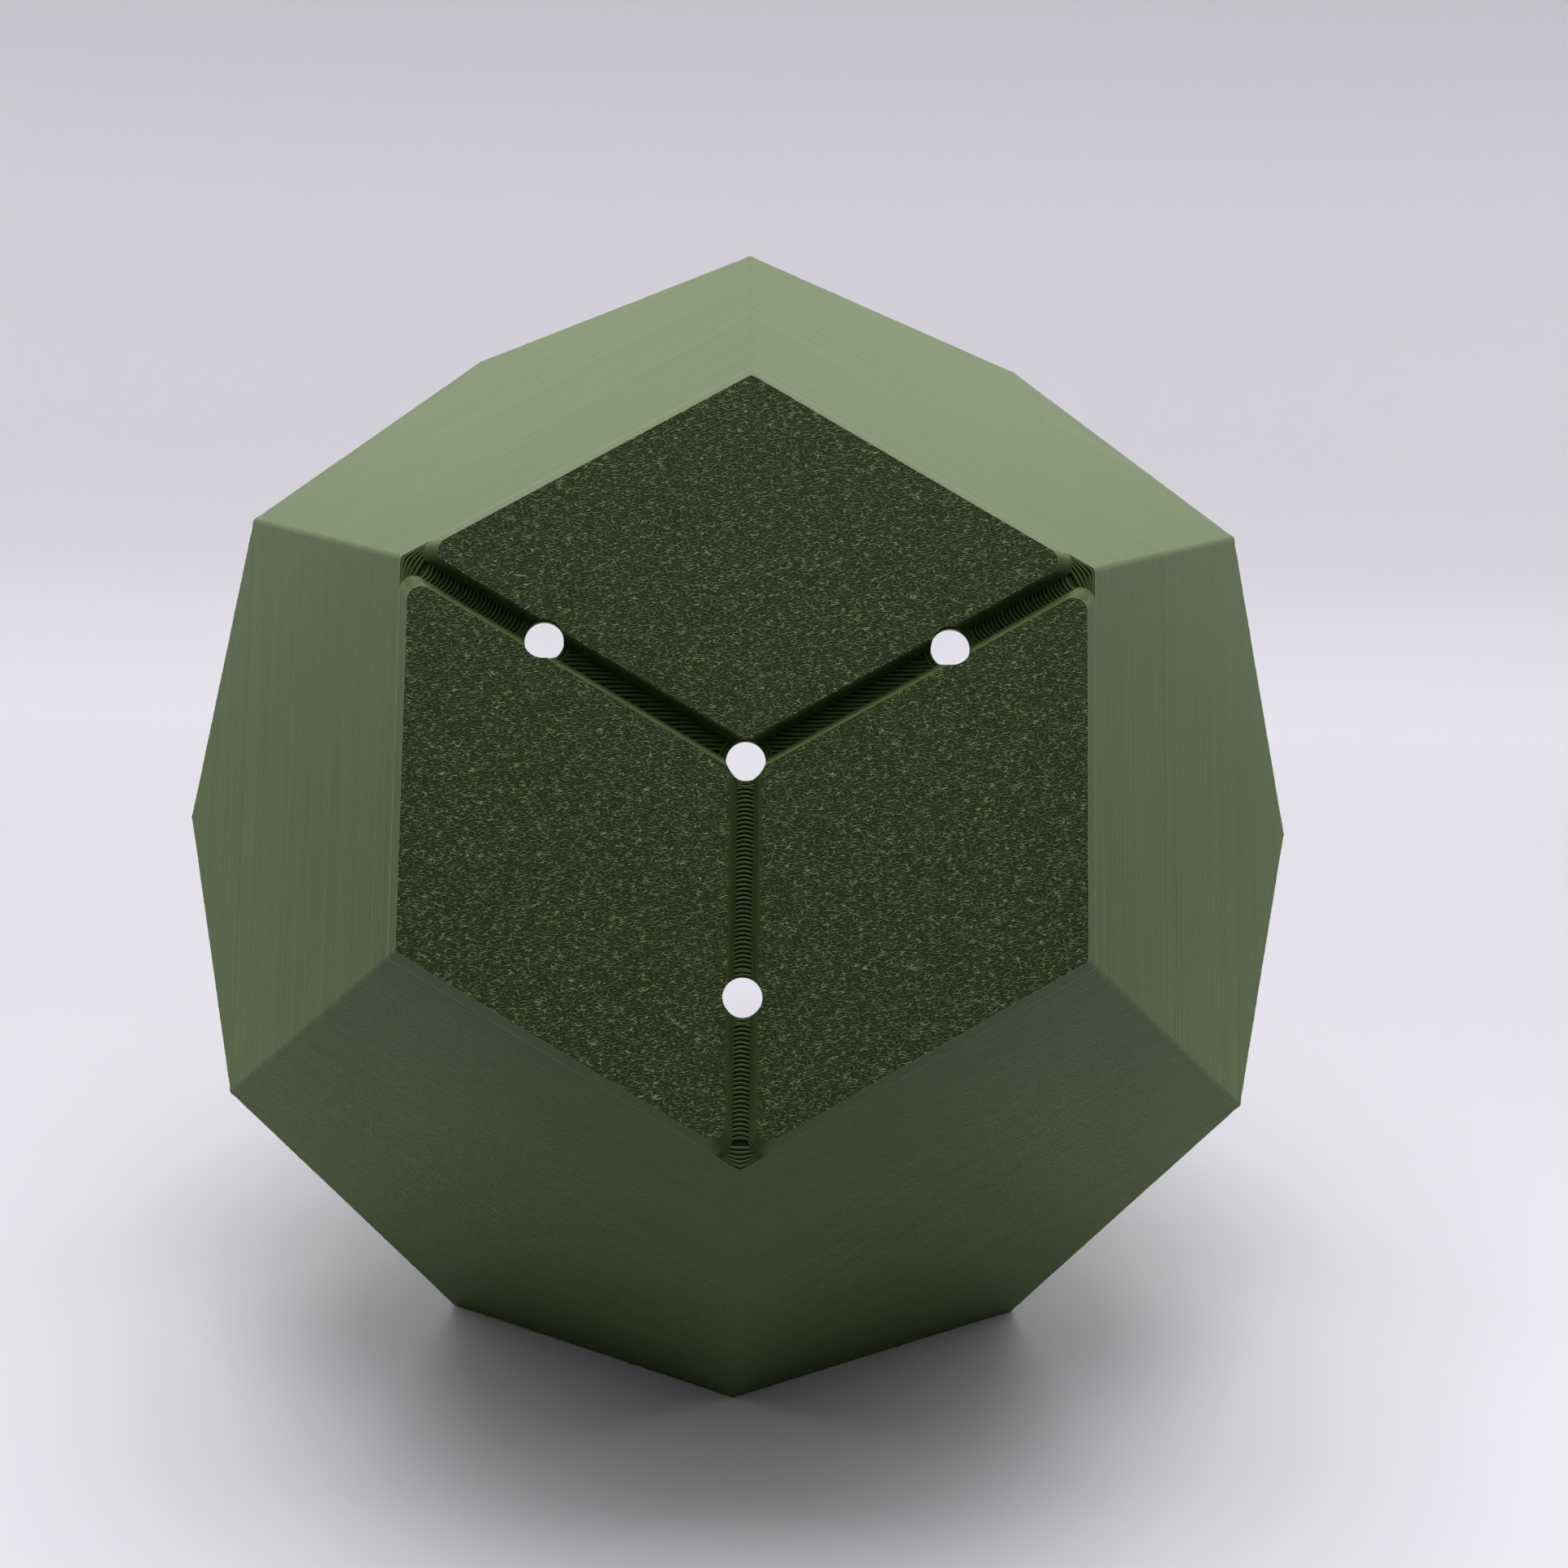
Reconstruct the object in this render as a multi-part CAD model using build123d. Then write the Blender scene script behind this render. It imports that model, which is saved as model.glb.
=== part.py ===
from build123d import *
import math
import os

# A one-piece faceted plant pot. Six five-sided facets lean out from a hexagonal base, six more
# lean in to a hexagonal mouth turned by half a side, and the two sets interlock round the belt.
# Millimetres, +Z up through the mouth, origin at the centre of the base's underside.

# Outer form: the facets lean by this angle from upright, and the belt's corners have this radius
SIDES = 6
HEIGHT = 80.0
BASE_CORNER_RADIUS = 40.0
BELT_RADIUS = 67.4
LEAN_ANGLE = 29.5

# Wall of the facets, and what is left of the floor above the channels
WALL = 2.4
FLOOR_OVER_CHANNELS = 0.6

# Underside: flat pads, parted by channels that run from the centre to every other base corner
CHANNELS = 3
FIRST_CHANNEL_ANGLE = 90.0
CHANNEL_MOUTH_WIDTH = 3.2
CHANNEL_ROOF_WIDTH = 1.6
CHANNEL_DEPTH = 1.8
PAD_CORNER_RADIUS = 1.4

# Drain holes: one at the centre and one along each channel
DRAIN_DIAMETER = 4.0
DRAIN_RING_RADIUS = 24.0

# How far a cutting shape runs past the face that it cuts
OVERCUT = 1.0

HALF_SIDE_ANGLE = 180.0 / SIDES
APOTHEM_SHARE = math.cos(math.radians(HALF_SIDE_ANGLE))
LEAN = math.tan(math.radians(LEAN_ANGLE))
FLOOR_TOP = CHANNEL_DEPTH + FLOOR_OVER_CHANNELS

# Distance from the axis to the planes of the lower and of the upper facets, at ground level
BASE_APOTHEM = BASE_CORNER_RADIUS * APOTHEM_SHARE
UPPER_APOTHEM = BELT_RADIUS * (1 + APOTHEM_SHARE) - BASE_APOTHEM


def leaning_prism(apothem, bottom, top, corner_angle, lean_angle):
    """A six-sided prism between two heights whose sides lean outwards by the lean angle."""
    outline = RegularPolygon(apothem, SIDES, major_radius=False, rotation=corner_angle)
    return extrude(Pos(0, 0, bottom) * outline, amount=top - bottom, taper=-lean_angle)


def faceted_body(inset, bottom, top):
    """The pot's form between two heights, with every facet moved in by the inset."""
    level_inset = inset / math.cos(math.radians(LEAN_ANGLE))
    lower_apothem = BASE_APOTHEM + LEAN * bottom - level_inset
    upper_apothem = UPPER_APOTHEM - LEAN * bottom - level_inset
    base_corner = FIRST_CHANNEL_ANGLE
    mouth_corner = FIRST_CHANNEL_ANGLE + HALF_SIDE_ANGLE
    lower_facets = leaning_prism(lower_apothem, bottom, top, base_corner, LEAN_ANGLE)
    upper_facets = leaning_prism(upper_apothem, bottom, top, mouth_corner, -LEAN_ANGLE)
    return lower_facets & upper_facets


def channel_angles():
    return [FIRST_CHANNEL_ANGLE + 360.0 / CHANNELS * index for index in range(CHANNELS)]


def pad_outline(height):
    """The outline, at a height above the ground, of the pad on the -Y side."""
    apothem = BASE_APOTHEM + LEAN * height
    narrowing = (CHANNEL_MOUTH_WIDTH - CHANNEL_ROOF_WIDTH) * height / CHANNEL_DEPTH
    reach = 2 * BASE_CORNER_RADIUS
    channel = Pos(reach / 2, 0) * Rectangle(reach, CHANNEL_MOUTH_WIDTH - narrowing)
    outline = RegularPolygon(apothem, SIDES, major_radius=False, rotation=FIRST_CHANNEL_ANGLE)
    for angle in channel_angles():
        outline -= Rot(0, 0, angle) * channel
    pad = outline.faces().sort_by(Axis.Y)[0]
    corners = pad.vertices().sort_by(Axis.X)
    channel_end_corners = [corners[0], corners[-1]]
    return Pos(0, 0, height) * pad.fillet_2d(PAD_CORNER_RADIUS, channel_end_corners)


def pads():
    """The flat pads that the pot stands on, rounded beside the open ends of the channels."""
    pad = loft([pad_outline(0), pad_outline(CHANNEL_DEPTH)], ruled=True)
    return [Rot(0, 0, angle - FIRST_CHANNEL_ANGLE) * pad for angle in channel_angles()]


def drains():
    """The rods that cut the drain holes."""
    rod = Cylinder(DRAIN_DIAMETER / 2, FLOOR_TOP + 2 * OVERCUT)
    middle = FLOOR_TOP / 2
    ring = [Rot(0, 0, angle) * Pos(DRAIN_RING_RADIUS, 0, middle) * rod for angle in channel_angles()]
    return [Pos(0, 0, middle) * rod] + ring


def pot():
    body = faceted_body(0, CHANNEL_DEPTH, HEIGHT)
    for pad in pads():
        body += pad
    body -= faceted_body(WALL, FLOOR_TOP, HEIGHT + OVERCUT)
    for drain in drains():
        body -= drain
    return body


os.makedirs("parts", exist_ok=True)
export_step(pot(), "parts/pot.step")
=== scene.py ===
import math
import random

import bpy
from bpy.props import FloatProperty, FloatVectorProperty, PointerProperty
from bpy.types import Operator, Panel, PropertyGroup
from mathutils import Matrix, Vector


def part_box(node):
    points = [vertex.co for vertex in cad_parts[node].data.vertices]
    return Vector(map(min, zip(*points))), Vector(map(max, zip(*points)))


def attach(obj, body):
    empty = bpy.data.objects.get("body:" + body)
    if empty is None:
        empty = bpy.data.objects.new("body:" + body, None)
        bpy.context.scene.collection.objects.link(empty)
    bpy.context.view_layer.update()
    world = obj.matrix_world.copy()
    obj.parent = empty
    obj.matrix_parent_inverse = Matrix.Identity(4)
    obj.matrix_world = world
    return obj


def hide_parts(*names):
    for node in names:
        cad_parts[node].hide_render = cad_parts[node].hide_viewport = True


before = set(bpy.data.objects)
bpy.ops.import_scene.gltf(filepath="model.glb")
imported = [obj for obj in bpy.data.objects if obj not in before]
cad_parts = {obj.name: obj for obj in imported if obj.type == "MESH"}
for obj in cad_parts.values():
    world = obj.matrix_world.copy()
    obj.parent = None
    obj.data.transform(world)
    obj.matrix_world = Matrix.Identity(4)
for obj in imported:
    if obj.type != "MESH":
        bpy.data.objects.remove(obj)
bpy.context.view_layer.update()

POT_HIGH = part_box("pot")[1]

bl_info = {
    "name": "Printed Plant Pot",
    "version": (1, 0, 0),
    "blender": (4, 5, 0),
    "location": "View3D > Sidebar > Plant Pot",
    "description": "Builds the printed finish of a faceted plant pot round its CAD part",
    "category": "Object",
}

MM = 0.001


# Sizes and colours


class PotPrint(PropertyGroup):
    layer_height: FloatProperty(
        name="Layer Height", description="Height of one printed layer",
        default=0.3 * MM, unit="LENGTH")
    bead_width: FloatProperty(
        name="Bead Width", description="Width of one laid-down strand",
        default=0.45 * MM, unit="LENGTH")
    groove: FloatProperty(
        name="Groove Depth", description="Depth of the line between two layers on the facets",
        default=0.035 * MM, unit="LENGTH")
    foot_groove: FloatProperty(
        name="Foot Groove Depth", description="Depth of the line between two layers of the pads",
        default=0.08 * MM, unit="LENGTH")
    unevenness: FloatProperty(
        name="Layer Unevenness", description="Step by which single layers stand in from the facets",
        default=0.011 * MM, unit="LENGTH")
    ridge_round: FloatProperty(
        name="Ridge Rounding", description="Width of the rounding along the facets' ridges",
        default=0.35 * MM, unit="LENGTH")
    pad_round: FloatProperty(
        name="Pad Rounding", description="Width of the rounding round the pads' faces",
        default=0.2 * MM, unit="LENGTH")


class PotChannels(PropertyGroup):
    roof_height: FloatProperty(
        name="Roof Height", description="Height of the channels' roof above the ground",
        default=1.8 * MM, unit="LENGTH")
    roof_width: FloatProperty(
        name="Roof Width", description="Width of the channels at their roof",
        default=1.6 * MM, unit="LENGTH")
    mouth_width: FloatProperty(
        name="Mouth Width", description="Width of the channels between the pads' faces",
        default=3.2 * MM, unit="LENGTH")
    recess: FloatProperty(
        name="Roof Recess", description="How far the gaps between strands go up past the roof",
        default=0.32 * MM, unit="LENGTH")
    strand_rise: FloatProperty(
        name="Strand Rise", description="How far above the roof the strands' middles lie",
        default=0.08 * MM, unit="LENGTH")
    tip_radius: FloatProperty(
        name="Tip Radius", description="Distance from the centre to the open end of a channel at its roof",
        default=41.18 * MM, unit="LENGTH")
    drain_ring: FloatProperty(
        name="Drain Ring Radius", description="Distance from the centre to the outer drain holes",
        default=24.0 * MM, unit="LENGTH")
    drain_radius: FloatProperty(
        name="Drain Radius", description="Radius of a drain hole",
        default=2.0 * MM, unit="LENGTH")


class PotPlastic(PropertyGroup):
    colour: FloatVectorProperty(
        name="Colour", description="Colour of the plastic",
        subtype="COLOR", size=3, min=0, max=1, default=(0.116, 0.160, 0.057))
    roughness: FloatProperty(
        name="Roughness", description="Roughness of the plastic on the facets",
        default=0.42, min=0, max=1, subtype="FACTOR")
    gloss: FloatProperty(
        name="Gloss", description="Strength of the plastic's mirror reflection",
        default=0.2, min=0, max=1, subtype="FACTOR")
    grain_size: FloatProperty(
        name="Grain Size", description="Size of the grain that the printing plate leaves on the pads",
        default=0.3 * MM, unit="LENGTH")


class PotStage(PropertyGroup):
    floor_colour: FloatVectorProperty(
        name="Floor Colour", description="Colour of the floor and the backdrop",
        subtype="COLOR", size=3, min=0, max=1, default=(0.92, 0.90, 0.96))
    overhead_power: FloatProperty(
        name="Overhead Light", description="Power of the soft light over the pot", default=5.0, unit="POWER")
    front_power: FloatProperty(
        name="Front Light", description="Power of the weak soft light over the floor in front",
        default=0.5, unit="POWER")
    rear_power: FloatProperty(
        name="Rear Light", description="Power of the soft light behind the pot", default=15, unit="POWER")
    side_power: FloatProperty(
        name="Side Light", description="Power of the soft lights at the pot's sides",
        default=1.35, unit="POWER")
    surround: FloatProperty(
        name="Surround Light", description="Strength of the even light from all round", default=0.01, min=0)


CHANNEL_TURNS = (90, -30, -150)
LEAN = math.radians(29.5)
LYING_DISTANCE = 79.31 * MM
BASE_CORNER_RADIUS = 40 * MM
BASE_APOTHEM = BASE_CORNER_RADIUS * math.cos(math.radians(30))
# Everything closer to the pot's axis than this lies inside the base
INNER_REACH = 30 * MM
# How close a height has to be to count as the same, how upright a normal has to be to count as level,
# and how many degrees two faces have to turn to count as a corner
NEAR = 0.05 * MM
LEVEL = 0.99
CORNER_TURN = 15
# The sheet's painted light and shade, as a share of its colour, at distances in metres away from where the
# pot touches it: darker just behind the pot, lighter far behind it
SHEET_PAINTED_LIGHT = ((-0.05, 0.90), (0.06, 0.56), (0.18, 0.47), (0.26, 0.51), (0.40, 0.84), (0.60, 1.0))


# Small helpers that every piece uses


def settings():
    return bpy.context.scene.pot_print, bpy.context.scene.pot_channels


def deselect_all():
    if bpy.context.object and bpy.context.object.mode != "OBJECT":
        bpy.ops.object.mode_set(mode="OBJECT")
    bpy.ops.object.select_all(action="DESELECT")


def make_active(obj):
    deselect_all()
    obj.select_set(True)
    bpy.context.view_layer.objects.active = obj


def pick(obj, kind, test):
    """Selects, from object mode, the vertices, edges or faces that pass the test, and nothing else."""
    mesh = obj.data
    for group in (mesh.vertices, mesh.edges, mesh.polygons):
        group.foreach_set("select", [False] * len(group))
    group = getattr(mesh, kind)
    found = 0
    for item in group:
        if test(item):
            item.select = True
            found += 1
    return found


def edit(obj, mode="VERT"):
    make_active(obj)
    bpy.ops.object.mode_set(mode="EDIT")
    bpy.context.tool_settings.mesh_select_mode = (mode == "VERT", mode == "EDGE", mode == "FACE")


def leave_edit():
    bpy.ops.object.mode_set(mode="OBJECT")


def put_in_place(obj):
    """Moves an object's place into its mesh, so that the object sits at the origin."""
    make_active(obj)
    bpy.ops.object.transform_apply(location=True, rotation=True, scale=True)


def join(objects, name):
    deselect_all()
    for obj in objects:
        obj.select_set(True)
    bpy.context.view_layer.objects.active = objects[0]
    bpy.ops.object.join()
    joined = bpy.context.view_layer.objects.active
    joined.name = name
    joined.data.name = name
    return joined


def copy_of(obj):
    twin = obj.copy()
    twin.data = obj.data.copy()
    bpy.context.scene.collection.objects.link(twin)
    return twin


def finish_piece(obj, material, smooth_angle=None):
    put_in_place(obj)
    obj.data.materials.clear()
    obj.data.materials.append(material)
    make_active(obj)
    if smooth_angle is not None:
        bpy.ops.object.shade_smooth_by_angle(angle=math.radians(smooth_angle))
    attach(obj, "root")


def edge_turns(obj):
    """For each edge, the angle between its two faces in degrees, and those faces."""
    mesh = obj.data
    faces_at = {}
    for face in mesh.polygons:
        for key in face.edge_keys:
            faces_at.setdefault(key, []).append(face)
    turns = {}
    for edge in mesh.edges:
        pair = faces_at.get(edge.key, [])
        if len(pair) == 2:
            turns[edge.index] = (math.degrees(pair[0].normal.angle(pair[1].normal, 0)), pair)
    return turns


# Materials


def printed_plastic():
    return bpy.data.materials["Printed Plastic"]


def new_group(name, inputs, outputs):
    group = bpy.data.node_groups.new(name, "ShaderNodeTree")
    for label, kind, value in inputs:
        socket = group.interface.new_socket(label, in_out="INPUT", socket_type=kind)
        if value is not None:
            socket.default_value = value
    for label, kind in outputs:
        group.interface.new_socket(label, in_out="OUTPUT", socket_type=kind)
    return group, group.nodes.new("NodeGroupInput"), group.nodes.new("NodeGroupOutput")


def calculate(tree, operation, first, second=None, third=None):
    node = tree.nodes.new("ShaderNodeMath")
    node.operation = operation
    for socket, value in zip(node.inputs, (first, second, third)):
        if value is None:
            continue
        if isinstance(value, (int, float)):
            socket.default_value = value
        else:
            tree.links.new(value, socket)
    return node.outputs["Value"]


def plate_grain_and_painted_glints():
    """The grain that a textured printing plate leaves: a height, and a shade with painted shade that is dark
    between grains and painted glints that make the raised grains much lighter in some patches.
    """
    group, given, result = new_group(
        "Plate Grain",
        [("Vector", "NodeSocketVector", None), ("Size", "NodeSocketFloat", 0.00028),
         ("Run", "NodeSocketFloat", 3.96)],
        [("Height", "NodeSocketFloat"), ("Shade", "NodeSocketFloat")])
    turn = group.nodes.new("ShaderNodeVectorRotate")
    turn.rotation_type = "Z_AXIS"
    group.links.new(given.outputs["Vector"], turn.inputs["Vector"])
    group.links.new(calculate(group, "MULTIPLY", given.outputs["Run"], -1), turn.inputs["Angle"])
    stretch = group.nodes.new("ShaderNodeMapping")
    stretch.inputs["Scale"].default_value = (0.55, 1, 1)
    group.links.new(turn.outputs["Vector"], stretch.inputs["Vector"])
    density = calculate(group, "DIVIDE", 1, given.outputs["Size"])
    worms = group.nodes.new("ShaderNodeTexNoise")
    worms.inputs["Detail"].default_value = 0.5
    worms.inputs["Distortion"].default_value = 0.4
    group.links.new(stretch.outputs["Vector"], worms.inputs["Vector"])
    group.links.new(density, worms.inputs["Scale"])
    off_middle = calculate(
        group, "ABSOLUTE", calculate(group, "SUBTRACT", worms.outputs["Fac"], 0.5))
    height = group.nodes.new("ShaderNodeMapRange")
    height.interpolation_type = "SMOOTHSTEP"
    height.inputs["From Min"].default_value = 0.075
    height.inputs["From Max"].default_value = 0.0
    group.links.new(off_middle, height.inputs["Value"])
    patches = group.nodes.new("ShaderNodeTexNoise")
    patches.inputs["Detail"].default_value = 2.0
    group.links.new(given.outputs["Vector"], patches.inputs["Vector"])
    group.links.new(calculate(group, "MULTIPLY", density, 0.45), patches.inputs["Scale"])
    # Painted glints: in some patches the raised grains are made much lighter
    painted_glint = group.nodes.new("ShaderNodeMapRange")
    painted_glint.inputs["From Min"].default_value = 0.46
    painted_glint.inputs["From Max"].default_value = 0.70
    painted_glint.inputs["To Min"].default_value = 0.5
    painted_glint.inputs["To Max"].default_value = 3.2
    group.links.new(patches.outputs["Fac"], painted_glint.inputs["Value"])
    painted_grain_light = calculate(group, "MULTIPLY", height.outputs["Result"], painted_glint.outputs["Result"])
    group.links.new(height.outputs["Result"], result.inputs["Height"])
    group.links.new(calculate(group, "ADD", painted_grain_light, 0.5), result.inputs["Shade"])
    return group


def layer_streaks():
    """Faint streaks that run level round the print, as the layers cool unevenly."""
    group, given, result = new_group(
        "Layer Streaks",
        [("Vector", "NodeSocketVector", None), ("Layer", "NodeSocketFloat", 0.0003)],
        [("Streak", "NodeSocketFloat")])
    squash = group.nodes.new("ShaderNodeMapping")
    squash.inputs["Scale"].default_value = (0.012, 0.012, 1)
    group.links.new(given.outputs["Vector"], squash.inputs["Vector"])
    streak = group.nodes.new("ShaderNodeTexNoise")
    streak.inputs["Detail"].default_value = 3.0
    streak.inputs["Roughness"].default_value = 0.7
    group.links.new(squash.outputs["Vector"], streak.inputs["Vector"])
    group.links.new(calculate(group, "DIVIDE", 0.45, given.outputs["Layer"]), streak.inputs["Scale"])
    group.links.new(streak.outputs["Fac"], result.inputs["Streak"])
    return group


def painted_layer_line_shade():
    """Painted shade: dark thin lines where one layer meets the next, standing in for the shade in the grooves
    between layers, deeper on the foot than on the facets.
    """
    group, given, result = new_group(
        "Layer Lines",
        [("Vector", "NodeSocketVector", None), ("Layer", "NodeSocketFloat", 0.0003),
         ("Foot", "NodeSocketFloat", 0.0018)],
        [("Shade", "NodeSocketFloat")])
    split = group.nodes.new("ShaderNodeSeparateXYZ")
    group.links.new(given.outputs["Vector"], split.inputs["Vector"])
    height = split.outputs["Z"]
    count = calculate(group, "DIVIDE", height, given.outputs["Layer"])
    line = group.nodes.new("ShaderNodeMapRange")
    line.interpolation_type = "SMOOTHSTEP"
    line.inputs["From Min"].default_value = 0.26
    line.inputs["From Max"].default_value = 0.0
    group.links.new(calculate(group, "PINGPONG", count, 0.5), line.inputs["Value"])
    above = calculate(group, "SUBTRACT", height, given.outputs["Foot"])
    foot = group.nodes.new("ShaderNodeMapRange")
    foot.inputs["From Min"].default_value = -0.00005
    foot.inputs["From Max"].default_value = -0.00015
    foot.inputs["To Max"].default_value = 0.45
    group.links.new(above, foot.inputs["Value"])
    facet = group.nodes.new("ShaderNodeMapRange")
    facet.inputs["From Min"].default_value = 0.0003
    facet.inputs["From Max"].default_value = 0.0005
    facet.inputs["To Max"].default_value = 0.11
    group.links.new(above, facet.inputs["Value"])
    depth = calculate(group, "ADD", foot.outputs["Result"], facet.outputs["Result"])
    # Painted shade along the lines between layers, darker on the foot
    dark = calculate(group, "MULTIPLY", line.outputs["Result"], depth)
    group.links.new(calculate(group, "SUBTRACT", 1, dark), result.inputs["Shade"])
    return group


def place_group(tree, group, vector, **values):
    node = tree.nodes.new("ShaderNodeGroup")
    node.node_tree = group
    tree.links.new(vector, node.inputs["Vector"])
    for label, value in values.items():
        node.inputs[label].default_value = value
    return node


def shade_of(tree, colour, amount):
    """The colour, lighter or darker by the amount."""
    scale = tree.nodes.new("ShaderNodeVectorMath")
    scale.operation = "SCALE"
    scale.inputs[0].default_value = tuple(colour)
    tree.links.new(amount, scale.inputs["Scale"])
    return scale.outputs["Vector"]


class POT_OT_plastic(Operator):
    """Makes the printed plastic's material"""
    bl_idname = "pot.plastic"
    bl_label = "Printed Plastic"

    def execute(self, context):
        look = context.scene.pot_plastic
        layer = context.scene.pot_print.layer_height
        material = bpy.data.materials.new("Printed Plastic")
        material.use_nodes = True
        tree = material.node_tree
        shader = tree.nodes["Principled BSDF"]
        place = tree.nodes.new("ShaderNodeTexCoord")
        here = place.outputs["Object"]
        split = tree.nodes.new("ShaderNodeSeparateXYZ")
        tree.links.new(here, split.inputs["Vector"])
        on_plate = tree.nodes.new("ShaderNodeMapRange")
        on_plate.inputs["From Min"].default_value = 0.00012
        on_plate.inputs["From Max"].default_value = 0.00003
        tree.links.new(split.outputs["Z"], on_plate.inputs["Value"])
        grain = place_group(tree, plate_grain_and_painted_glints(), here, Size=look.grain_size)
        streaks = place_group(tree, layer_streaks(), here, Layer=layer)
        foot = context.scene.pot_channels.roof_height
        lines = place_group(tree, painted_layer_line_shade(), here, Layer=layer, Foot=foot)

        streak = calculate(tree, "MULTIPLY_ADD", streaks.outputs["Streak"], 0.5, 0.75)
        # The facets' tone: random level streaks times the painted shade along the lines between layers
        layered = calculate(tree, "MULTIPLY", streak, lines.outputs["Shade"])
        mix = tree.nodes.new("ShaderNodeMix")
        tree.links.new(on_plate.outputs["Result"], mix.inputs["Factor"])
        tree.links.new(layered, mix.inputs["A"])
        # On the pads the colour takes the grain's painted shade between grains and painted glints on the
        # raised grains
        tree.links.new(grain.outputs["Shade"], mix.inputs["B"])
        tree.links.new(shade_of(tree, look.colour, mix.outputs["Result"]), shader.inputs["Base Color"])
        shader.inputs["Roughness"].default_value = look.roughness
        shader.inputs["Specular IOR Level"].default_value = look.gloss

        bump = tree.nodes.new("ShaderNodeBump")
        bump.inputs["Strength"].default_value = 0.9
        bump.inputs["Distance"].default_value = 0.00010
        tree.links.new(
            calculate(tree, "MULTIPLY", grain.outputs["Height"], on_plate.outputs["Result"]),
            bump.inputs["Height"])
        tree.links.new(bump.outputs["Normal"], shader.inputs["Normal"])
        return {"FINISHED"}


# The printed shell


class POT_OT_shell(Operator):
    """Makes the pot's printed shell from a merged copy of its CAD part, cut into its layers"""
    bl_idname = "pot.shell"
    bl_label = "Printed Shell"

    def execute(self, context):
        sizes, channels = settings()
        shell = bpy.data.objects.new("pot_shell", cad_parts["pot"].data.copy())
        context.scene.collection.objects.link(shell)
        edit(shell)
        bpy.ops.mesh.select_all(action="SELECT")
        bpy.ops.mesh.remove_doubles(threshold=0.002 * MM)
        bpy.ops.mesh.dissolve_limited(angle_limit=math.radians(0.6))
        leave_edit()
        recess_roofs(shell, channels)
        bore_drains(shell, channels)
        round_edges(shell, sizes)
        cut_layers(shell, sizes)
        press_grooves(shell, sizes, channels)
        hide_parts("pot")
        finish_piece(shell, printed_plastic())
        make_active(shell)
        bpy.ops.object.shade_smooth()
        mark_layer_lines(shell)
        even = shell.modifiers.new("even_normals", "WEIGHTED_NORMAL")
        even.mode = "FACE_AREA"
        even.weight = 50
        even.keep_sharp = True
        bpy.ops.object.modifier_apply(modifier=even.name)
        return {"FINISHED"}


def recess_roofs(shell, channels):
    """Sinks the channel roofs a little, so that the strands laid across them have depth between them."""
    roof = channels.roof_height

    def is_roof(face):
        return face.normal.z < -LEVEL and abs(face.center.z - roof) < NEAR

    if not pick(shell, "polygons", is_roof):
        raise RuntimeError("the channel roofs weren't found")
    edit(shell, "FACE")
    bpy.ops.mesh.inset(thickness=0.06 * MM, use_boundary=True, use_even_offset=True)
    bpy.ops.transform.translate(value=(0, 0, channels.recess))
    leave_edit()


def drain_places(channels):
    spokes = [Matrix.Rotation(math.radians(turn), 3, "Z") @ Vector((channels.drain_ring, 0, 0))
              for turn in CHANNEL_TURNS]
    return [Vector((0, 0, 0))] + spokes


def bore_drains(shell, channels):
    """Runs a drill through each drain hole, so that the holes are truly round."""
    for place in drain_places(channels):
        bpy.ops.mesh.primitive_cylinder_add(
            vertices=64, radius=channels.drain_radius + 0.02 * MM, depth=20 * MM, location=place)
        drill = bpy.context.object
        put_in_place(drill)
        make_active(shell)
        bore = shell.modifiers.new("bore", "BOOLEAN")
        bore.operation = "DIFFERENCE"
        bore.solver = "EXACT"
        bore.object = drill
        bpy.ops.object.modifier_apply(modifier=bore.name)
        bpy.data.objects.remove(drill)


def round_edges(shell, sizes):
    turns = edge_turns(shell)
    mesh = shell.data

    def is_ridge(edge):
        turn, pair = turns.get(edge.index, (0, ()))
        return turn > CORNER_TURN and all(0.3 < abs(face.normal.z) < 0.7 and outward(face) for face in pair)

    def outward(face):
        outer = face.center.length > INNER_REACH
        return outer and face.normal.x * face.center.x + face.normal.y * face.center.y > 0

    found = pick(shell, "edges", is_ridge)
    if found < 24:
        raise RuntimeError(f"only {found} ridges were found")
    edit(shell, "EDGE")
    bpy.ops.mesh.bevel(
        offset=sizes.ridge_round, offset_type="OFFSET", segments=3, profile=0.5, clamp_overlap=True)
    leave_edit()
    turns = edge_turns(shell)

    holes = drain_places(bpy.context.scene.pot_channels)

    def at_hole(edge):
        middle = (mesh.vertices[edge.vertices[0]].co + mesh.vertices[edge.vertices[1]].co) / 2
        return any((middle.xy - place.xy).length < 2.4 * MM for place in holes)

    def is_pad_rim(edge):
        turn, pair = turns.get(edge.index, (0, ()))
        return (turn > CORNER_TURN and not at_hole(edge)
                and any(face.normal.z < -LEVEL and face.center.z < NEAR for face in pair))

    def is_mouth_rim(edge):
        turn, pair = turns.get(edge.index, (0, ()))
        return (turn > CORNER_TURN
                and any(face.normal.z > LEVEL and face.center.z > POT_HIGH.z - NEAR for face in pair))

    pick(shell, "edges", lambda edge: is_pad_rim(edge) or is_mouth_rim(edge))
    edit(shell, "EDGE")
    bpy.ops.mesh.bevel(
        offset=sizes.pad_round, offset_type="OFFSET", segments=2, profile=0.5, clamp_overlap=True)
    leave_edit()


def cut_layers(shell, sizes):
    """Cuts the shell level at the middle and the top of each layer."""
    half_layer = sizes.layer_height / 2
    cuts = round(POT_HIGH.z / half_layer)
    step = 1
    edit(shell)
    for index in range(1, cuts, step):
        bpy.ops.mesh.select_all(action="SELECT")
        bpy.ops.mesh.bisect(plane_co=(0, 0, index * half_layer), plane_no=(0, 0, 1))
    leave_edit()


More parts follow.
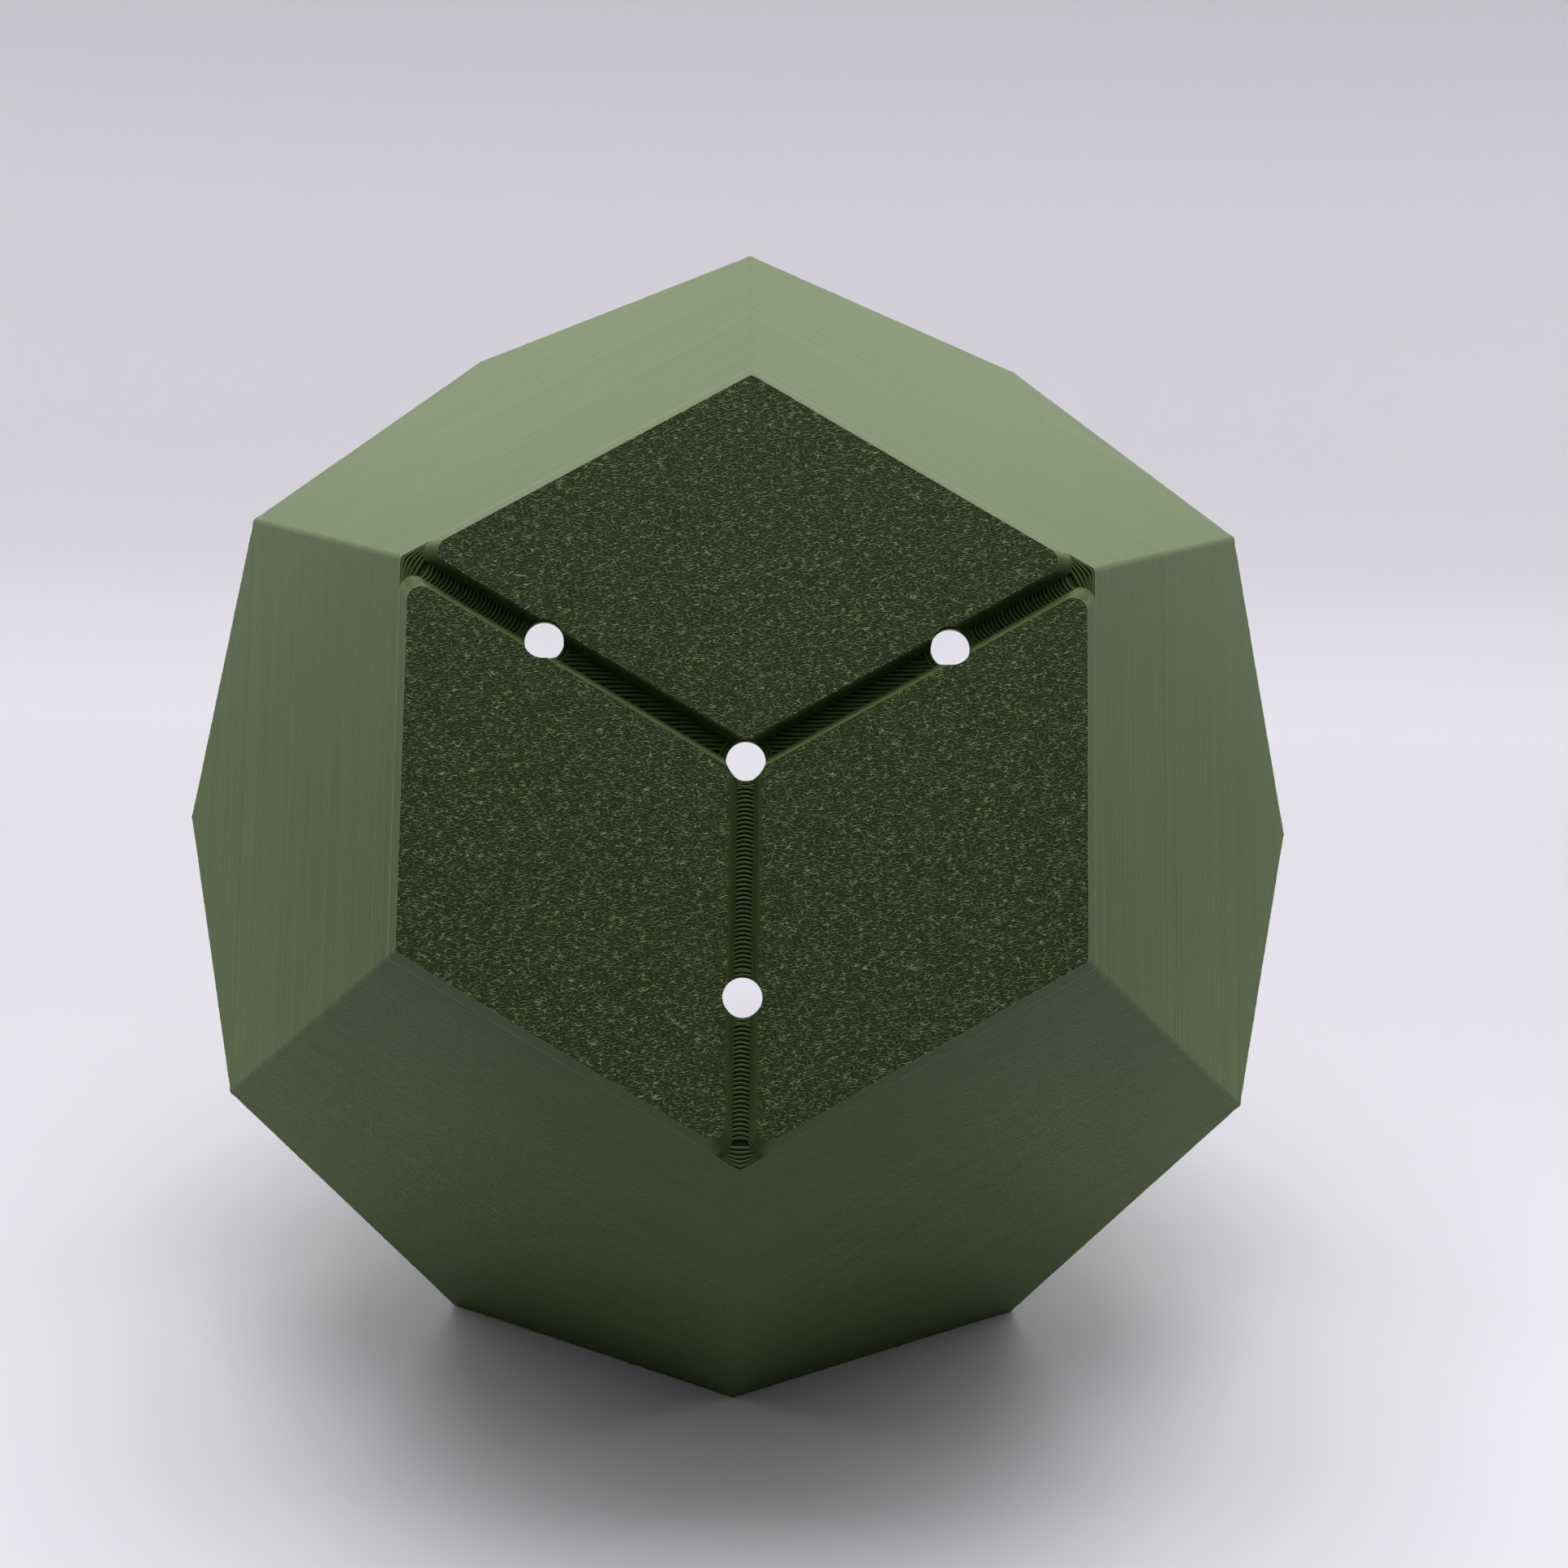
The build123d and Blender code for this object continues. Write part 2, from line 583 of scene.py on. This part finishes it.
def on_facet(point):
    """Whether the point lies on one of the six lower facets."""
    reach = max(point.x * math.cos(math.radians(turn)) + point.y * math.sin(math.radians(turn))
                for turn in range(0, 360, 60))
    return reach > BASE_APOTHEM + point.z * math.tan(LEAN) - 0.3 * MM


def press_grooves(shell, sizes, channels):
    """Draws the lines between layers in, deeper on the pads, and sets whole layers in by uneven amounts."""
    mesh = shell.data
    layer = sizes.layer_height
    chance = random.Random(7)
    drift = 2.0
    set_in = []
    for number in range(round(POT_HIGH.z / layer) + 2):
        drift = min(4.0, max(0.0, drift + chance.uniform(-0.9, 0.9)))
        set_in.append(round(drift + chance.choice((0, 0, 0, 1, 2))))
    hull_line = round((channels.roof_height + channels.recess) / layer)
    set_in[hull_line] += 4
    depths = {}
    for vertex in mesh.vertices:
        height = vertex.co.z
        halves = round(height / layer * 2)
        if abs(height / layer * 2 - halves) > 0.04 or height < 0.25 * MM or height > POT_HIGH.z - 0.25 * MM:
            continue
        if abs(height - channels.roof_height) < NEAR:
            continue
        on_line = halves % 2 == 0
        if height < channels.roof_height and not on_facet(vertex.co):
            depth = sizes.foot_groove if on_line else 0
        elif vertex.co.xy.length < INNER_REACH:
            depth = 0
        else:
            depth = set_in[halves // 2] * sizes.unevenness + (sizes.groove if on_line else 0)
        if depth > 0:
            depths.setdefault(round(depth / MM, 4), set()).add(vertex.index)
    for depth, chosen in depths.items():
        pick(shell, "vertices", lambda vertex: vertex.index in chosen)
        edit(shell)
        bpy.ops.transform.shrink_fatten(value=-depth * MM)
        leave_edit()


def mark_layer_lines(shell):
    """Marks the level edges that run round the print as sharp, so that its layers show."""
    points = [vertex.co.copy() for vertex in shell.data.vertices]

    def is_level(edge):
        first, second = (points[index] for index in edge.vertices)
        return abs(first.z - second.z) < 0.03 * MM and 0.1 * MM < first.z < POT_HIGH.z - 0.1 * MM

    pick(shell, "edges", is_level)
    edit(shell, "EDGE")
    bpy.ops.mesh.mark_sharp()
    leave_edit()


# Strands laid across the channels


def laid_bead(name, reach, bow, width, steps=6):
    """A strand laid along Y from -reach to reach. Bow gives how far along X it lies at each Y."""
    bpy.ops.mesh.primitive_circle_add(
        vertices=8, radius=width / 2, fill_type="NGON", location=(bow(-reach), -reach, 0),
        rotation=(math.radians(90), 0, 0))
    bead = bpy.context.object
    bead.name = name
    put_in_place(bead)
    edit(bead, "FACE")
    bpy.ops.mesh.select_all(action="SELECT")
    for index in range(steps):
        start = -reach + 2 * reach * index / steps
        end = -reach + 2 * reach * (index + 1) / steps
        bpy.ops.mesh.extrude_region_move(
            TRANSFORM_OT_translate={"value": (bow(end) - bow(start), end - start, 0)})
    bpy.ops.mesh.select_all(action="SELECT")
    bpy.ops.mesh.normals_make_consistent(inside=False)
    leave_edit()
    return bead


def place_copy(pattern, matrix):
    twin = copy_of(pattern)
    twin.data.transform(matrix)
    return twin


class POT_OT_bridges(Operator):
    """Lays the strands that bridge each channel's roof, between and beyond its drain holes"""
    bl_idname = "pot.bridges"
    bl_label = "Channel Bridges"

    def execute(self, context):
        sizes, channels = settings()
        pitch = sizes.bead_width
        height = channels.roof_height + channels.strand_rise
        clear = channels.drain_radius + 1.2 * pitch
        across = channels.roof_width / 2 + 0.2 * MM
        straight = laid_bead(
            "bridge_strand", across, lambda y: -0.28 * MM * (1 - (y / across) ** 2), 0.84 * pitch)
        slanted = laid_bead(
            "slanted_strand", 2 * across, lambda y: -0.07 * MM * (1 - (y / (2 * across)) ** 2), 0.84 * pitch)
        for turn in CHANNEL_TURNS:
            chance = random.Random(turn)
            strands = []
            inner_end = channels.drain_ring - clear
            outer_start = channels.drain_ring + clear
            outer_end = channels.tip_radius - 2.55 * MM
            straight_runs = [(outer_start, outer_end)]
            if turn == -30:
                straight_runs.append((clear, inner_end))
            else:
                strands += slanted_strands(slanted, turn, clear, channels.drain_ring, pitch, height, chance)
            for start, end in straight_runs:
                for index in range(int((end - start) / pitch) + 1):
                    place = Vector((start + index * pitch, 0, height + chance.uniform(-0.03, 0.03) * MM))
                    lean = Matrix.Rotation(math.radians(chance.uniform(-2.5, 2.5)), 4, "Z")
                    strands.append(place_copy(straight, Matrix.Translation(place) @ lean))
            piece = join(strands, f"bridges_{CHANNEL_TURNS.index(turn) + 1}")
            piece.data.transform(Matrix.Rotation(math.radians(turn), 4, "Z"))
            finish_piece(piece, printed_plastic(), 60)
        for pattern in (straight, slanted):
            bpy.data.objects.remove(pattern)
        return {"FINISHED"}


def slanted_strands(pattern, turn, clear, outer_hole, pitch, height, chance):
    """The strands between the centre and a channel's outer hole, which all run one way across the pot."""
    slant = math.radians(-30 if turn == 90 else 30)
    reach = bpy.context.scene.pot_channels.mouth_width / 2 + 0.35 * MM
    along = Vector((math.cos(slant), math.sin(slant), 0))
    strands = []
    step = pitch / abs(math.sin(slant))
    count = int(outer_hole / step) + 1
    for index in range(count):
        middle = Vector((index * step + 0.4 * MM, 0, 0))
        free = [s * reach / 12 for s in range(-12, 13)
                if (middle + along * s * reach / 12).length > clear
                and (middle + along * s * reach / 12 - Vector((outer_hole, 0, 0))).length > clear]
        if len(free) < 5:
            continue
        start, end = min(free), max(free)
        share = (end - start) / (4 * MM)
        centre = middle + along * (start + end) / 2
        centre.z = height + chance.uniform(-0.03, 0.03) * MM
        turned = Matrix.Rotation(slant - math.radians(90) + math.radians(chance.uniform(-1.5, 1.5)), 4, "Z")
        strands.append(place_copy(
            pattern, Matrix.Translation(centre) @ turned @ Matrix.Diagonal((1, share, 1, 1))))
    return strands


class POT_OT_channel_ends(Operator):
    """Lays the pot's outline strands across the open end of each channel"""
    bl_idname = "pot.channel_ends"
    bl_label = "Channel Ends"

    def execute(self, context):
        sizes, channels = settings()
        pitch = sizes.bead_width
        height = channels.roof_height + channels.strand_rise
        beads = []
        for index in range(5):
            vertex = channels.tip_radius - 0.36 * MM - index * pitch * 1.02
            slope = 0.577 * (1 - index / 4.6)
            softness = (0.25 + 0.25 * index) * MM
            beads.append(laid_bead(
                "outline_strand", (3.0 - 0.3 * index) * MM,
                lambda y: vertex - slope * (math.hypot(y, softness) - softness), 0.78 * pitch, steps=12))
            beads[-1].data.transform(Matrix.Translation((0, 0, height)))
        pattern = join(beads, "channel_end")
        for number, turn in enumerate(CHANNEL_TURNS):
            piece = place_copy(pattern, Matrix.Rotation(math.radians(turn), 4, "Z"))
            piece.name = f"channel_end_{number + 1}"
            finish_piece(piece, printed_plastic(), 60)
        bpy.data.objects.remove(pattern)
        return {"FINISHED"}


class POT_OT_drain_rings(Operator):
    """Lays the two rings of strand round each drain hole"""
    bl_idname = "pot.drain_rings"
    bl_label = "Drain Rings"

    def execute(self, context):
        sizes, channels = settings()
        height = channels.roof_height + channels.strand_rise
        rings = []
        for index in range(2):
            bpy.ops.mesh.primitive_torus_add(
                major_radius=channels.drain_radius + sizes.bead_width * (0.55 + 0.9 * index),
                minor_radius=sizes.bead_width * 0.45, major_segments=40, minor_segments=8,
                location=(0, 0, height))
            put_in_place(bpy.context.object)
            rings.append(bpy.context.object)
        pattern = join(rings, "drain_ring")
        copies = [place_copy(pattern, Matrix.Translation(place)) for place in drain_places(channels)]
        bpy.data.objects.remove(pattern)
        finish_piece(join(copies, "drain_rings"), printed_plastic(), 60)
        return {"FINISHED"}


# Stage


class POT_OT_stage(Operator):
    """Lays the pot on one upper facet on a pale sweep, with soft lights and the camera"""
    bl_idname = "pot.stage"
    bl_label = "Stage"

    def execute(self, context):
        stage = context.scene.pot_stage
        lying = Vector((1, 0, 0))
        lying.rotate(Matrix.Rotation(-LEAN, 3, "Y"))
        lying.rotate(Matrix.Rotation(math.radians(-30), 3, "Z"))
        up = -lying
        away = Vector((0, 0, 1)) - Vector((0, 0, 1)).project(up)
        away.normalize()
        right = away.cross(up)
        room = Matrix((right, away, up)).transposed().to_4x4()
        room.translation = lying * LYING_DISTANCE

        sweep = sweep_sheet(room)
        sweep.data.materials.append(backdrop_paint(stage, away, room.translation.dot(away)))
        for name, place, target, size, power in (
            ("overhead", (0.0, 0.17, 0.75), (0, 0.05, 0.0), (0.8, 0.4), stage.overhead_power),
            ("front", (0.0, -0.25, 0.70), (0, 0.0, 0.0), (0.9, 0.3), stage.front_power),
            ("rear", (0.0, 1.2, 0.50), (0, 0.05, 0.10), (1.6, 0.4), stage.rear_power),
            ("left", (-0.55, 0.25, 0.30), (0, 0.05, 0.06), (0.4, 0.5), stage.side_power),
            ("right", (0.55, 0.25, 0.30), (0, 0.05, 0.06), (0.4, 0.5), stage.side_power),
        ):
            soft_light(name, room @ Vector(place), room @ Vector(target), size, power)

        world = bpy.data.worlds.new("Surround")
        context.scene.world = world
        world.use_nodes = True
        sky = world.node_tree.nodes["Background"]
        sky.inputs["Color"].default_value = (0.80, 0.79, 0.85, 1)
        sky.inputs["Strength"].default_value = stage.surround

        bpy.ops.object.camera_add(
            location=(33.541 * MM, -16.554 * MM, -258.266 * MM),
            rotation=[math.radians(a) for a in (-172.3484, 1.4942, -120.7207)])
        camera = context.object
        camera.name = "camera"
        camera.data.lens = 59.31
        camera.data.sensor_width = 36
        camera.data.clip_start = 0.01
        context.scene.camera = camera
        context.scene.view_settings.view_transform = "Standard"
        return {"FINISHED"}


def sweep_sheet(room):
    """A sheet that lies flat under the pot, then curves up behind it."""
    bpy.ops.mesh.primitive_plane_add(size=2)
    sheet = bpy.context.object
    sheet.name = "sweep"
    edit(sheet)
    bpy.ops.mesh.select_all(action="SELECT")
    bpy.ops.transform.resize(value=(0.55, 0.15, 1))
    bpy.ops.transform.translate(value=(0, -0.15 + 0.22, 0))
    leave_edit()
    pick(sheet, "edges", lambda edge: all(sheet.data.vertices[v].co.y > 0.2 for v in edge.vertices))
    edit(sheet, "EDGE")
    bpy.ops.mesh.spin(steps=24, angle=math.radians(-86), center=(0, 0.22, 0.16), axis=(1, 0, 0))
    bpy.ops.mesh.extrude_region_move(TRANSFORM_OT_translate={"value": (0, 0.08, 1.1)})
    bpy.ops.mesh.select_all(action="SELECT")
    bpy.ops.mesh.remove_doubles(threshold=0.1 * MM)
    leave_edit()
    sheet.data.transform(room)
    make_active(sheet)
    bpy.ops.object.shade_smooth()
    return sheet


def soft_light(name, place, target, size, power):
    bpy.ops.object.light_add(type="AREA", location=place)
    lamp = bpy.context.object
    lamp.name = name
    lamp.data.shape = "RECTANGLE"
    lamp.data.size, lamp.data.size_y = size
    lamp.data.energy = power
    lamp.rotation_euler = (target - place).to_track_quat("-Z", "Y").to_euler()
    lamp.visible_camera = False
    return lamp


def backdrop_paint(stage, away, start):
    """Pale matt paper that is seen from its front only, and lets the lamps behind it shine through.

    Its tone changes gently with the distance away from the camera, as painted light and shade: darker just
    behind the pot, lighter far behind it.
    """
    material = bpy.data.materials.new("Backdrop")
    material.use_nodes = True
    nodes = material.node_tree.nodes
    links = material.node_tree.links
    shader = nodes["Principled BSDF"]
    place = nodes.new("ShaderNodeTexCoord")
    along = nodes.new("ShaderNodeVectorMath")
    along.operation = "DOT_PRODUCT"
    along.inputs[1].default_value = away
    links.new(place.outputs["Object"], along.inputs[0])
    span = nodes.new("ShaderNodeMapRange")
    span.inputs["From Min"].default_value = start - 0.1
    span.inputs["From Max"].default_value = start + 0.7
    links.new(along.outputs["Value"], span.inputs["Value"])
    # Painted light and shade on the sheet, read from its distance along the away direction
    painted_light_ramp = nodes.new("ShaderNodeValToRGB")
    painted_light_ramp.color_ramp.interpolation = "B_SPLINE"
    ramp = painted_light_ramp.color_ramp.elements
    for distance, tone in SHEET_PAINTED_LIGHT:
        stop = ramp.new((distance + 0.1) / 0.8)
        stop.color = (*(part * tone for part in stage.floor_colour), 1)
    ramp.remove(ramp[0])
    ramp.remove(ramp[len(ramp) - 1])
    links.new(span.outputs["Result"], painted_light_ramp.inputs["Fac"])
    links.new(painted_light_ramp.outputs["Color"], shader.inputs["Base Color"])
    shader.inputs["Roughness"].default_value = 0.9
    clear = nodes.new("ShaderNodeBsdfTransparent")
    mix = nodes.new("ShaderNodeMixShader")
    side = nodes.new("ShaderNodeNewGeometry")
    ray = nodes.new("ShaderNodeLightPath")
    open_way = nodes.new("ShaderNodeMath")
    open_way.operation = "MAXIMUM"
    links.new(side.outputs["Backfacing"], open_way.inputs[0])
    links.new(ray.outputs["Is Shadow Ray"], open_way.inputs[1])
    links.new(open_way.outputs["Value"], mix.inputs["Fac"])
    links.new(shader.outputs["BSDF"], mix.inputs[1])
    links.new(clear.outputs["BSDF"], mix.inputs[2])
    links.new(mix.outputs["Shader"], nodes["Material Output"].inputs["Surface"])
    return material


class POT_PT_panel(Panel):
    """Lists the pot's pieces"""
    bl_label = "Plant Pot"
    bl_idname = "POT_PT_panel"
    bl_space_type = "VIEW_3D"
    bl_region_type = "UI"
    bl_category = "Plant Pot"

    def draw(self, context):
        for operator in PIECES:
            self.layout.operator(operator.bl_idname)
        for group in (context.scene.pot_print, context.scene.pot_channels, context.scene.pot_plastic,
                      context.scene.pot_stage):
            box = self.layout.box()
            for name in group.bl_rna.properties.keys():
                if name not in ("rna_type", "name"):
                    box.prop(group, name)


PIECES = (POT_OT_plastic, POT_OT_shell, POT_OT_bridges, POT_OT_channel_ends, POT_OT_drain_rings, POT_OT_stage)
GROUPS = (("pot_print", PotPrint), ("pot_channels", PotChannels), ("pot_plastic", PotPlastic),
          ("pot_stage", PotStage))


def register():
    for name, group in GROUPS:
        bpy.utils.register_class(group)
        setattr(bpy.types.Scene, name, PointerProperty(type=group))
    for operator in PIECES:
        bpy.utils.register_class(operator)
    bpy.utils.register_class(POT_PT_panel)


def unregister():
    bpy.utils.unregister_class(POT_PT_panel)
    for operator in reversed(PIECES):
        bpy.utils.unregister_class(operator)
    for name, group in reversed(GROUPS):
        delattr(bpy.types.Scene, name)
        bpy.utils.unregister_class(group)


def main():
    register()
    bpy.ops.pot.plastic()
    bpy.ops.pot.shell()
    bpy.ops.pot.bridges()
    bpy.ops.pot.channel_ends()
    bpy.ops.pot.drain_rings()
    bpy.ops.pot.stage()


if __name__ == "__main__":
    main()
